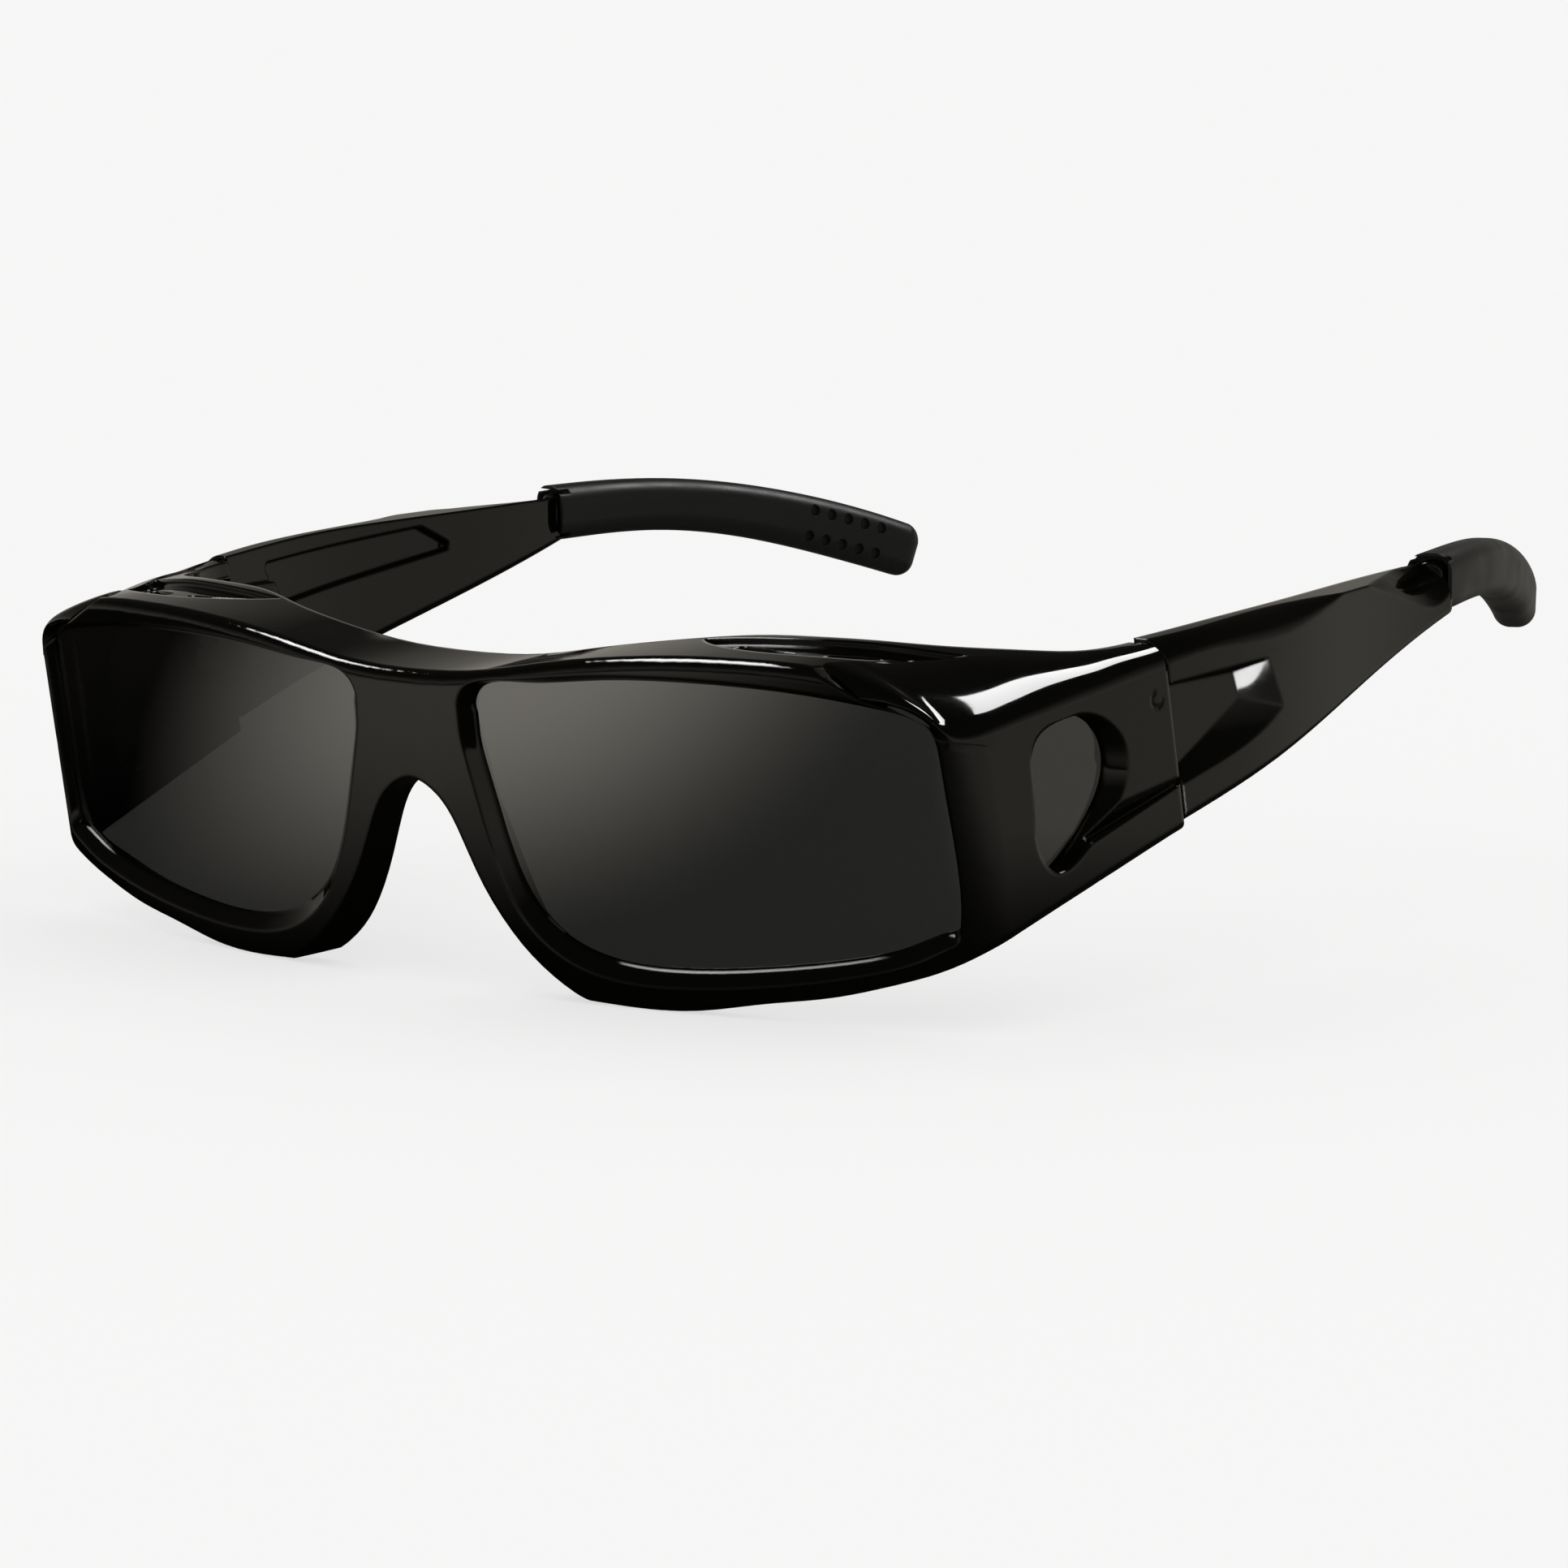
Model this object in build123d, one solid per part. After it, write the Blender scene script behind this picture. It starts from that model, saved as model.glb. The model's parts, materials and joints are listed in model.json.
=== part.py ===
"""Fitover sunglasses: a wrap-round front with tinted lenses and side windows, and two folding temples.

Millimetres. +X is the wearer's left, +Y runs back along the temples, +Z is up, and the rims stand on Z = 0.
Every left-hand piece is modelled once on the +X side and mirrored to the right-hand side.
"""

import functools
import math
import os

from build123d import *

# Wrap of the front, seen from above
seam_half_width = 75.0  # middle to the outer face of the side shield at the temple seam
corner_half_width = 72.3  # middle to the outer face just behind the front corner
corner_depth = 22.0  # how far back that place lies
seam_depth = 46.6  # how far back the temple seam lies at hinge height
corner_radius = 7.5
top_front_radius = 286.0  # bend of the front at top_level
bottom_front_radius = 179.0  # bend of the front at bottom_level
top_front_depth = -1.6  # how far back the middle of the front lies at top_level
bottom_front_depth = 4.6
top_level = 49.0
bottom_level = -8.0
wall = 3.4  # front and side walls
overrun = 6.0  # how far cutting bodies pass what they cut
search_steps = 20  # halvings when a place on a curve is looked for

# Brow, seen from the front
brow_middle_height = 37.35
brow_rise = 3.72
brow_slope = 0.075  # rise of the top face for each millimetre back
brow_outline_shares = [
    (0.0, 0.0), (0.13, 0.134), (0.27, 0.586), (0.40, 0.909), (0.53, 1.06), (0.61, 1.06),
    (0.71, 0.973), (0.80, 0.704), (0.88, 0.38), (0.92, 0.21), (0.95, 0.22), (1.02, 0.41),
]
brow_edge_radius = 1.4

# Shoulder: the side shield's upper edge, rounded below and sloped above, at the corner and at the seam
shoulder_corner_height = 34.0  # where the rounding starts
shoulder_seam_height = 38.6
shoulder_corner_radius = 2.3
shoulder_seam_radius = 3.7
shoulder_start_angle = 8.0  # degrees that the rounding has turned where it meets the side
shoulder_end_angle = 59.0  # and where it meets the slope
shelf_thickness = 2.2
shelf_edge_points_shares = [
    (0.0, 0.27), (0.12, 0.26), (0.24, 0.25), (0.38, 0.29), (0.50, 0.37), (0.60, 0.41),
    (0.72, 0.47), (0.83, 0.62), (0.90, 0.78), (0.932, 0.96),
]

# Lower edge, seen from the front
rim_drop = 1.8
rim_slope = 0.283
rim_outline_shares = [
    (0.0, -0.45), (0.20, -0.45), (0.30, -0.67), (0.40, -1.0), (0.49, -1.0), (0.60, -0.45),
    (0.71, 0.0), (0.80, 0.72), (0.88, 1.6), (0.94, 2.6), (1.02, 3.75),
]
rim_edge_radius = 1.0

# Nose arch: its edge on the face and its edge 10 mm behind, from the top down
arch_height = 24.5
arch_half_width = 27.0
arch_front_depth = 1.0
arch_rear_depth = 10.0
arch_front_shares = [
    (0.0, 1.0), (0.11, 0.94), (0.25, 0.70), (0.36, 0.50), (0.51, 0.335), (0.71, 0.19), (1.0, 0.03),
]
arch_rear_shares = [
    (0.0, 1.03), (0.19, 0.985), (0.30, 0.76), (0.38, 0.40), (0.44, 0.25), (0.53, 0.13), (0.72, 0.01),
]
nose_flange_thickness = 2.2
nose_flange_top_depth = 7.0  # how far back the flange reaches over the bridge
nose_flange_low_depth = 9.5  # and at its foot

# Lenses
lens_inner_x = 9.4
lens_width = 59.2
lens_base_height = 5.2
lens_height = 33.2
lens_thickness = 1.8
lens_seat_depth = 1.6
lens_seat_width = 0.9
lens_clearance = 0.05
bevel_top = 0.6
bevel_outer = 0.9
bevel_nose = 1.7
bevel_bottom = 2.1
bevel_front_reach = 2.8
bevel_rear_reach = 5.4
lens_outline_shares = [
    (0.0, 0.85), (0.012, 0.894), (0.042, 0.925), (0.18, 0.97), (0.365, 0.994), (0.55, 1.0), (0.75, 0.982),
    (0.905, 0.949), (0.958, 0.925), (0.983, 0.88), (0.99, 0.785), (0.998, 0.53), (1.0, 0.32),
    (0.993, 0.232), (0.965, 0.18), (0.865, 0.12), (0.737, 0.066), (0.568, 0.021), (0.4, 0.0), (0.28, 0.012),
    (0.188, 0.066), (0.118, 0.169), (0.068, 0.334), (0.03, 0.56), (0.007, 0.74),
]

# Vents in the brow shelf: a crescent recess along its inner edge, with slots through the floor
vent_recess_depth = 0.9
vent_margin = 1.7  # between the recess and the inner edge of the shelf
vent_front_shares = [
    (0.435, 0.31), (0.525, 0.207), (0.625, 0.191), (0.74, 0.262), (0.805, 0.385), (0.83, 0.52),
]
vent_slot_setback = 1.8  # from the front of the recess to the slots
vent_slot_length = 3.2
vent_slots_shares = [(0.50, 0.595), (0.63, 0.70), (0.725, 0.775)]
vent_corner_radius = 0.7

# Side windows: outline seen from the side
window_front_depth = 22.9
window_length = 13.8
window_base_height = 17.0
window_height = 17.9
window_outline_shares = [
    (0.0, 0.70), (0.06, 0.90), (0.30, 0.985), (0.55, 1.0), (0.80, 0.93), (0.97, 0.78),
    (1.0, 0.62), (0.86, 0.38), (0.58, 0.15), (0.22, 0.03), (0.10, 0.12), (0.03, 0.42),
]
window_recess_depth = 2.0
window_recess_growth = 2.6  # how far the recess spreads rearwards at the outer face
window_thickness = 1.3
window_seat_width = 0.8
rail_groove_depth = 1.5
rail_groove_height = 3.2
rail_start_depth = 33.0
rail_start_height = 21.8
rail_end_depth = 51.0
rail_end_height = 26.6
rail_end_share = 0.16

# Small hooked groove beside the seam
hook_radius = 0.9
hook_groove_radius = 0.22
hook_setback = 2.6  # from the seam to its middle
hook_height = 35.4
hook_turn = 250.0  # degrees that it curls through

# Temple seam and hinge
seam_lean = 10.2  # degrees from upright, the lower end further back
seam_gap = 0.3
hinge_height = 32.0
hinge_x = 69.0
boss_inner_x = 70.6
boss_length = 11.0
boss_height = 12.0
leaf_thickness = 0.9
leaf_height = 8.4
leaf_length = 8.0
leaf_clearance = 0.12
leaf_corner_radius = 1.4
knuckle_radius = 1.5
knuckle_count = 3
knuckle_gap = 0.06
pin_radius = 0.7
pin_clearance = 0.04
pin_head_radius = 1.3
pin_head_thickness = 0.6
pin_slot_width = 0.35
pin_slot_depth = 0.3
leaf_screw_radius = 0.7
leaf_screw_length = 2.4
leaf_screw_head_radius = 1.15
leaf_screw_head_thickness = 0.45
leaf_screw_setback = 3.6
leaf_screw_pitch = 3.0
leaf_screw_clearance = 0.03

# Temples
temple_thickness = 4.4
temple_end_thickness = 4.2
temple_bulge = 1.2
temple_end_depth = 109.3
temple_end_half_width = 72.7
temple_top_height = 42.1
temple_top_rise = 3.0
temple_end_height = 6.2
temple_bottom_height = 20.9
temple_edge_radius = 0.9
temple_crown = [  # round on its upper outer edge: share of the length, then height and width there
    (-0.10, 4.0, 2.5), (0.0, 4.0, 2.5), (0.207, 4.0, 2.6), (0.395, 3.7, 2.5),
    (0.498, 1.5, 1.6), (0.705, 0.9, 1.0), (1.02, 0.6, 0.7),
]
crown_bow_share = 0.293  # how far inside the corner the middle of that round lies
temple_top_shares = [(0.0, 0.0), (0.235, 0.40), (0.517, 0.66), (0.77, 0.83), (1.0, 1.0)]
temple_bulge_share = 0.28
temple_turn_share = 0.36
temple_bottom_sag = 0.15
panel_depth = 1.7
panel_floor_shares = [(-0.085, 0.64), (0.203, 0.667), (0.222, 0.54), (0.019, 0.222)]
panel_rim_shares = [(-0.085, 0.65), (0.278, 0.722), (0.361, 0.457), (0.028, 0.184)]
pocket_depth = 1.1
pocket_shares = [(0.10, 0.80), (0.573, 0.905), (0.672, 0.777), (0.155, 0.567)]
pocket_corner_radius = 0.6
tang_inset = 1.2
tang_stations = 4

# Rubber tip sleeves
sleeve_lip = 0.5
sleeve_mouth_depth = 1.8
sleeve_round_share = 0.42
sleeve_height = 7.4
sleeve_width = 5.8
sleeve_clearance = 0.05
sleeve_path = [
    (70.0, 108.3, 42.7), (67.4, 119.0, 43.0), (63.8, 130.0, 42.5),
    (59.4, 141.0, 40.7), (54.6, 151.8, 37.8), (49.3, 162.5, 34.0),
]
sleeve_size_shares = [(1.0, 1.0), (1.0, 0.97), (1.0, 0.96), (1.02, 1.0), (1.02, 1.04), (0.94, 1.0)]
sleeve_end_radius = 2.4
dimple_radius = 0.75
dimple_depth = 0.7
dimple_count = 5
dimple_pitch = 2.7
dimple_row_gap = 3.6


def blend(low, high, share):
    """Value that lies the given share of the way from low to high."""
    return low + (high - low) * share


def front_y(x, z, inset=0):
    """How far back the front's face lies at x and z, or a face inset behind it."""
    share = (z - bottom_level) / (top_level - bottom_level)
    upper = top_front_depth + top_front_radius - math.sqrt((top_front_radius - inset) ** 2 - x**2)
    lower = bottom_front_depth + bottom_front_radius - math.sqrt((bottom_front_radius - inset) ** 2 - x**2)
    return blend(lower, upper, share)


def side_x(y):
    """Half width of the outer face of the side shield at depth y."""
    return blend(corner_half_width, seam_half_width, (y - corner_depth) / (seam_depth - corner_depth))


wrap_rear = seam_depth + 4 * overrun


def wrap_section(radius, depth, inset):
    """Plan of the wrap at one level: bent front, rounded corners and flared sides."""
    disc = Pos(0, depth + radius) * Circle(radius)
    fan = Polygon(
        (-side_x(-overrun), -overrun), (side_x(-overrun), -overrun),
        (side_x(wrap_rear), wrap_rear), (-side_x(wrap_rear), wrap_rear),
        align=None,
    )
    plan = disc & fan
    corners = plan.vertices().sort_by(Axis.Y)[:2]
    plan = fillet(corners, corner_radius)
    if inset:
        plan = offset(plan, -inset, kind=Kind.INTERSECTION)
    return plan


@functools.cache
def wrap_body(inset=0):
    """Solid wrap whose face lies the given distance inside the outer face of the front."""
    lower = Pos(0, 0, bottom_level) * wrap_section(bottom_front_radius, bottom_front_depth, inset)
    upper = Pos(0, 0, top_level) * wrap_section(top_front_radius, top_front_depth, inset)
    return loft([lower, upper], ruled=True)


def sloped_slab(shares, middle_height, rise, slope, far_height):
    """Body between a mirrored front-view outline, run back on a slope, and a level beyond it."""
    half = [(share_x * seam_half_width, middle_height + share_z * rise) for share_x, share_z in shares]
    points = [(-x, z) for x, z in reversed(half[1:])] + half
    reach = points[-1][0]
    edge = Spline([Vector(x, 0, z) for x, z in points])
    closing = Polyline([edge @ 1, (reach, 0, far_height), (-reach, 0, far_height), edge @ 0])
    face = make_face([edge, closing])
    start = -2 * overrun
    run = wrap_rear - start
    face = Pos(0, start, slope * start) * face
    return extrude(face, amount=run * math.hypot(1, slope), dir=(0, 1, slope))


def under_brow(drop=0):
    """Everything below the top face of the brow, or below a face the given distance under it."""
    low = bottom_level - wrap_rear * brow_slope
    return sloped_slab(brow_outline_shares, brow_middle_height - drop, brow_rise, brow_slope, low)


def above_rim():
    """Everything above the lower edge of the rims and side shields."""
    return sloped_slab(rim_outline_shares, 0, rim_drop, rim_slope, top_level + overrun)


def shoulder_profile(y):
    """Cross-section of what lies above the left shoulder at depth y."""
    share = (y - corner_depth) / (seam_depth - corner_depth)
    radius = blend(shoulder_corner_radius, shoulder_seam_radius, share)
    height = blend(shoulder_corner_height, shoulder_seam_height, share)
    start, end = math.radians(shoulder_start_angle), math.radians(shoulder_end_angle)
    centre_x, centre_z = side_x(y) - radius * math.cos(start), height - radius * math.sin(start)

    def around(angle):
        return Vector(centre_x + radius * math.cos(angle), y, centre_z + radius * math.sin(angle))

    arc = ThreePointArc(around(start), around((start + end) / 2), around(end))
    slope = Vector(-math.sin(end), 0, math.cos(end)) * (seam_half_width / 2)
    top, side = arc @ 1 + slope, arc @ 0 + Vector(2 * overrun, 0, 0)
    far = top_level + wrap_rear
    outline = Polyline([arc @ 1, top, (top.X, y, far), (side.X, y, far), side, arc @ 0])
    return make_face([arc, outline])


def over_shoulder():
    """Everything above the left shoulder, from ahead of the front to behind the seam."""
    return loft([shoulder_profile(-2 * overrun), shoulder_profile(wrap_rear)], ruled=True)


def mirrored(shape):
    """The same shape on the wearer's right."""
    solids = [mirror(solid, about=Plane.YZ) for solid in shape.solids()]
    return solids[0] if len(solids) == 1 else Compound(children=solids)


def seam_y(z):
    """Depth of the slanted temple seam at a height."""
    return seam_depth + (hinge_height - z) * math.tan(math.radians(seam_lean))


def behind_seam(shift=0):
    """Everything behind the slanted temple seam, moved back by shift."""
    low, high = bottom_level - overrun, top_level + 2 * overrun
    reach = seam_half_width + 2 * overrun
    far = temple_end_depth + wrap_rear
    outline = Plane.YZ * Polygon(
        (seam_y(low) + shift, low), (far, low), (far, high), (seam_y(high) + shift, high), align=None
    )
    return Pos(-reach) * extrude(outline, amount=2 * reach)


def outward(points, closed=False):
    """Directions square to a row of flat points, on its left-hand side as the row runs."""
    directions = []
    last = len(points) - 1
    for index in range(len(points)):
        before = points[index - 1] if closed else points[max(index - 1, 0)]
        after = points[(index + 1) % len(points)] if closed else points[min(index + 1, last)]
        run_x, run_z = after[0] - before[0], after[1] - before[1]
        length = math.hypot(run_x, run_z)
        directions.append((-run_z / length, run_x / length))
    return directions


def grown(points, growth, closed=False):
    """A row of flat points, each moved outwards by growth."""
    pairs = zip(points, outward(points, closed))
    return [(x + out_x * growth, z + out_z * growth) for (x, z), (out_x, out_z) in pairs]


def arch_face(shares, depth, growth=0):
    """Nose arch outline in an upright plane, closed well below the rims, grown outwards by growth."""
    half = [(share_x * arch_half_width, share_z * arch_height) for share_x, share_z in shares]
    points = [(-x, z) for x, z in reversed(half[1:])] + half
    points = grown(points, growth)
    end_x, foot = points[-1][0], bottom_level - overrun
    edge = Spline([Vector(x, 0, z) for x, z in points])
    closing = Polyline([edge @ 1, (end_x, 0, foot), (-end_x, 0, foot), edge @ 0])
    return Pos(0, depth, 0) * make_face([edge, closing])


def arch_body(growth=0):
    """Space of the nose, from in front of the face to behind the flange, widened by growth."""
    front = arch_face(arch_front_shares, arch_front_depth - overrun, growth)
    rear = arch_face(arch_rear_shares, arch_rear_depth + overrun, growth)
    return loft([front, rear], ruled=True)


def lens_points():
    """Sight edge of the left lens, with the outward direction at each point."""
    flat = [
        (lens_inner_x + share_x * lens_width, lens_base_height + share_z * lens_height)
        for share_x, share_z in lens_outline_shares
    ]
    return [(x, z, out_x, out_z) for (x, z), (out_x, out_z) in zip(flat, outward(flat, closed=True))]


def lens_plane():
    """Upright plane that touches the lens seat at the lens's centre and faces forwards."""
    x, z = lens_inner_x + lens_width / 2, lens_base_height + lens_height / 2
    step = lens_seat_depth
    across = Vector(step, front_y(x + step, z) - front_y(x, z), 0)
    up = Vector(0, front_y(x, z + step) - front_y(x, z), step)
    origin = Vector(x, front_y(x, z, lens_seat_depth), z)
    return Plane(origin=origin, x_dir=across, z_dir=across.cross(up))


def bevel_body():
    """Body that cuts a lens opening with its bevelled edge through the front."""
    plane = lens_plane()
    front, rear = [], []
    for x, z, out_x, out_z in lens_points():
        width_x = bevel_outer if out_x > 0 else bevel_nose
        width_z = bevel_top if out_z > 0 else bevel_bottom
        seat = plane.to_local_coords(Vector(x, front_y(x, z, lens_seat_depth), z))
        edge_x, edge_z = x + out_x * width_x, z + out_z * width_z
        face = plane.to_local_coords(Vector(edge_x, front_y(edge_x, edge_z), edge_z))
        slope = (face - seat) * (1 / (face.Z - seat.Z))
        front.append(seat + slope * (bevel_front_reach - seat.Z))
        rear.append(seat - slope * (bevel_rear_reach + seat.Z))
    faces = [make_face(Spline(points, periodic=True)) for points in (front, rear)]
    return plane * loft(faces, ruled=True)


def lens_prism(margin):
    """Straight prism through the lens outline grown by margin, square to the lens."""
    plane = lens_plane()
    points = []
    for x, z, out_x, out_z in lens_points():
        edge_x, edge_z = x + out_x * margin, z + out_z * margin
        flat = plane.to_local_coords(Vector(edge_x, front_y(edge_x, edge_z, lens_seat_depth), edge_z))
        points.append(Vector(flat.X, flat.Y, 0))
    reach = 2 * overrun
    return plane * Pos(0, 0, -reach) * extrude(make_face(Spline(points, periodic=True)), amount=2 * reach)


seat_wrap = wrap_body(lens_seat_depth)


def lens():
    """Left lens: a curved plate that seats behind the bevel of its opening."""
    plate = lens_prism(lens_seat_width - lens_clearance) & wrap_body(lens_seat_depth + lens_clearance)
    return plate - wrap_body(lens_seat_depth + lens_clearance + lens_thickness)


def side_plane(depth=0):
    """Upright plane along the side shield, a depth inside its outer face, starting above the corner."""
    along = Vector(side_x(seam_depth) - side_x(corner_depth), seam_depth - corner_depth, 0).normalized()
    out = Vector(along.Y, -along.X, 0)
    return Plane(origin=Vector(side_x(corner_depth), corner_depth, 0) - out * depth, x_dir=along, z_dir=out)


def window_face(growth_rear=0, margin=0):
    """Side window outline on the side plane, with its rear side pushed back by growth_rear."""
    length = window_length + growth_rear
    points = [
        (window_front_depth - corner_depth + share_y * length, window_base_height + share_z * window_height)
        for share_y, share_z in window_outline_shares
    ]
    return make_face(Spline([Vector(x, z) for x, z in grown(points, margin, closed=True)], periodic=True))


def window_recess():
    """Recess that narrows from the outer face of the side shield to the side window."""
    spread = 1 + overrun / window_recess_depth
    outer = side_plane(-overrun) * window_face(spread * window_recess_growth)
    inner = side_plane(window_recess_depth) * window_face()
    return loft([outer, inner], ruled=True)


def window_prism(margin, depth, thickness):
    """Flat plate space behind the side window, grown by margin."""
    face = side_plane(depth + thickness) * window_face(margin=margin)
    return extrude(face, amount=thickness)


def side_lens():
    """Left side window pane."""
    gap = lens_clearance
    return window_prism(window_seat_width - gap, window_recess_depth + gap, window_thickness - gap)


def rail_groove():
    """Groove that tapers from the lower rear of the side window to the seam."""
    sections = []
    for depth_back, height, share in (
        (rail_start_depth, rail_start_height, 1), (rail_end_depth, rail_end_height, rail_end_share)
    ):
        half, cut = rail_groove_height * share / 2, rail_groove_depth * share
        profile = make_face(Polyline(
            (cut, half + cut, 0), (cut, -half, 0), (-cut, -half, 0), (0, half, 0), close=True
        ))
        place = Plane(
            origin=side_plane().from_local_coords(Vector(depth_back - corner_depth, height, 0)),
            x_dir=side_plane().z_dir, z_dir=side_plane().x_dir * -1,
        )
        sections.append(place * profile)
    return loft(sections, ruled=True)


def plan_points(shares):
    """Places on the shelf, seen from above, as shares of the front's half width and of the seam's depth."""
    return [(share_x * seam_half_width, share_y * seam_depth) for share_x, share_y in shares]


def shelf_hole():
    """Plan of the opening behind the brow shelf, as an upright body."""
    half = plan_points(shelf_edge_points_shares)
    points = [(-x, y) for x, y in reversed(half[1:])] + half
    edge = Spline([Vector(x, y, 0) for x, y in points])
    end_x = points[-1][0]
    closing = Polyline([edge @ 1, (end_x, wrap_rear), (-end_x, wrap_rear), edge @ 0])
    return extrude(make_face([edge, closing]), amount=top_level + overrun)


def hook_groove():
    """Curled groove in the side shield's outer face."""
    face = side_plane()
    centre = face.from_local_coords(Vector(seam_depth - hook_setback - corner_depth, hook_height, 0))
    curl = CenterArc((0, 0), hook_radius, 0, -hook_turn)
    path = Plane(origin=centre, x_dir=face.x_dir, z_dir=face.z_dir) * curl
    return sweep(Plane(origin=path @ 0, z_dir=path % 0) * Circle(hook_groove_radius), path=path)


def vent_front():
    """Front edge of the left vent recess, seen from above."""
    return Spline([Vector(x, y, 0) for x, y in plan_points(vent_front_shares)])


def vent_recess_plan():
    """Crescent between the front edge of the recess and a line inside the shelf's inner edge."""
    front = vent_front()
    rear = grown(plan_points(shelf_edge_points_shares), -vent_margin)
    start, end = front @ 0, front @ 1
    inner = [Vector(x, y, 0) for x, y in rear if start.X < x < end.X]
    back = Spline([start] + inner + [end])
    return make_face([front, back])


def slot_plan(start_share, end_share):
    """Rounded slot that follows the front edge of the vent recess."""
    front = vent_front()
    run = vent_front_shares[-1][0] - vent_front_shares[0][0]
    first, last = [(share - vent_front_shares[0][0]) / run for share in (start_share, end_share)]
    setback = Vector(0, vent_slot_setback, 0)
    near = [front @ share + setback for share in (first, (first + last) / 2, last)]
    far = [point + Vector(0, vent_slot_length, 0) for point in near]
    ahead, behind = ThreePointArc(*near), ThreePointArc(*far)
    slot = make_face([ahead, Line(ahead @ 1, behind @ 1), behind, Line(behind @ 0, ahead @ 0)])
    return fillet(slot.vertices(), vent_corner_radius)


def vents():
    """Crescent recess in the left brow and the slots that pass through its floor."""
    under = brow_middle_height - 3 * shelf_thickness
    tall = top_level + overrun - under
    cut = extrude(Pos(0, 0, under) * vent_recess_plan(), amount=tall) - under_brow(vent_recess_depth)
    for start_share, end_share in vent_slots_shares:
        cut += extrude(Pos(0, 0, under) * slot_plan(start_share, end_share), amount=tall)
    return cut


def hinge_boss():
    """Thickening inside the end of the left side shield that carries the hinge leaf."""
    rear = seam_depth + overrun
    front = seam_depth - boss_length
    run = seam_half_width - wall / 2 - boss_inner_x
    outer_x = boss_inner_x + run
    plan = Polygon(
        (boss_inner_x, front + run), (outer_x, front), (outer_x, rear), (boss_inner_x, rear), align=None
    )
    return extrude(Pos(0, 0, hinge_height - boss_height / 2) * plan, amount=boss_height)


def nose_flange():
    """Wall behind the nose arch that rests on the wearer's own frame or nose."""
    low, high = rim_drop, arch_height + nose_flange_thickness
    top_y, low_y = nose_flange_top_depth, nose_flange_low_depth
    profile = Plane.YZ * Polygon(
        (-overrun, -rim_drop), (low_y, -rim_drop), (low_y, low), (top_y, high), (-overrun, high), align=None
    )
    zone = Pos(-arch_half_width) * extrude(profile, amount=2 * arch_half_width)
    return (arch_body(nose_flange_thickness) - arch_body()) & zone & wrap_body(wall / 2)


def leaf_screw_places(direction):
    """Depths and heights of a leaf's two fixing screws, before (-1) or behind (1) the hinge axis."""
    setbacks = [leaf_screw_setback, leaf_screw_setback + leaf_screw_pitch]
    return [(seam_depth + direction * setback, hinge_height) for setback in setbacks]


def leaf_screw_bores(direction, radius):
    """Bores for a leaf's fixing screws, from the inner face of the leaf outwards."""
    bores = []
    length = leaf_screw_length + leaf_thickness
    for y, z in leaf_screw_places(direction):
        bore = Cylinder(radius, length, align=(Align.CENTER, Align.CENTER, Align.MIN))
        bores.append(Pos(boss_inner_x - leaf_thickness, y, z) * Rot(0, 90, 0) * bore)
    return bores


def is_brow_edge(edge):
    """True for the edges between the top face and the outer faces, ahead of the far end."""
    middle, run = edge @ 0.5, edge % 0.5
    return middle.Z > hinge_height and abs(run.Z) < 0.5 and middle.Y < wrap_rear - overrun


def is_rim_edge(edge):
    """True for the edges between the lower face and the outer faces, ahead of the far end."""
    middle, run = edge @ 0.5, edge % 0.5
    return middle.Z < hinge_height and abs(run.Z) < 0.9 and middle.Y < wrap_rear - overrun


def front_frame():
    """Moulded front: face, brow shelf, side shields, nose arch and flange in one piece."""
    body = wrap_body() & under_brow() & above_rim()
    body = fillet(body.edges().filter_by(is_brow_edge), brow_edge_radius)
    body = fillet(body.edges().filter_by(is_rim_edge), rim_edge_radius)
    above = over_shoulder()
    body = body - above - mirrored(above)
    body -= wrap_body(wall) & under_brow(shelf_thickness)
    body -= shelf_hole()
    boss = hinge_boss() & wrap_body(wall / 2)
    body = body + boss + mirrored(boss)
    body += nose_flange() & above_rim()
    body = body - arch_body() - behind_seam()
    seat = lens_prism(lens_seat_width) & seat_wrap
    left = [bevel_body(), seat, vents(), window_recess(), rail_groove(), hook_groove()]
    left.append(window_prism(window_seat_width, window_recess_depth, window_thickness + 2 * wall))
    left += leaf_screw_bores(-1, leaf_screw_radius + leaf_screw_clearance)
    for cut in left:
        body = body - cut - mirrored(cut)
    return body


def temple_sides():
    """Points along the outer and the inner face of the left temple, seen from above."""
    middle = blend(seam_depth, temple_end_depth, temple_bulge_share)
    turn = (middle + temple_end_depth) / 2
    outer = [
        (side_x(seam_depth - overrun), seam_depth - overrun), (seam_half_width, seam_depth),
        (seam_half_width + temple_bulge, middle),
        (blend(seam_half_width, temple_end_half_width, temple_turn_share), turn),
        (temple_end_half_width, temple_end_depth),
    ]
    inner = []
    for x, y in outer:
        share = (y - seam_depth) / (temple_end_depth - seam_depth)
        inner.append((x - blend(temple_thickness, temple_end_thickness, share), y))
    return outer, inner


def plan_between(outer, inner):
    """Plan between two lines of points that start and end side by side."""
    outside, inside = Spline([Vector(x, y, 0) for x, y in outer]), Spline([Vector(x, y, 0) for x, y in inner])
    return make_face([outside, Line(outside @ 1, inside @ 1), inside, Line(inside @ 0, outside @ 0)])


def temple_place(share_y, share_z):
    """Depth and height on the side of the temple, as shares of its length and of its height at the seam."""
    y = blend(seam_depth, temple_end_depth, share_y)
    return y, blend(temple_bottom_height, temple_top_height + temple_top_rise, share_z)


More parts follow.
